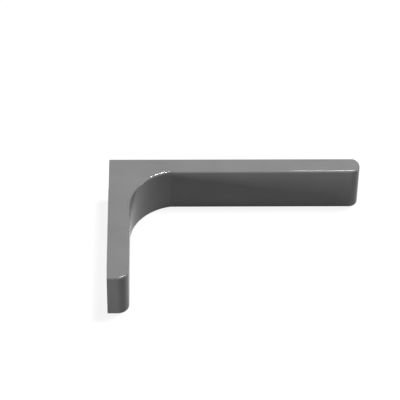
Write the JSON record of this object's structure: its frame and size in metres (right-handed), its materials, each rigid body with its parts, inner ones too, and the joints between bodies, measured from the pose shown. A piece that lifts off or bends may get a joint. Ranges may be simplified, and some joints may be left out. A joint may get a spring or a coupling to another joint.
{
  "type": "shelf bracket",
  "caption": "L-shaped shelf bracket: a pressed steel channel that screws to wall and shelf, under a push-on moulded cover.",
  "frame": {"origin": "centre of the two wall screw holes, on the face that meets the wall", "axes": "+X runs out from the wall along the shelf arm, +Y points at the shelf, +Z crosses the bracket, which lies on its side"},
  "size_m": [0.18, 0.12, 0.035],
  "materials": {
    "zinc_steel": "zinc plated",
    "grey_plastic": "glossy"
  },
  "bodies": {
    "channel": {"steel_channel": "zinc_steel"},
    "cover": {"moulded_cover": "grey_plastic"}
  },
  "joints": [
    {"name": "cover_pull", "type": "slide", "parent": "channel", "child": "cover", "axis": [0.7071, -0.7071, 0], "range_m": [0, 0.04]}
  ]
}
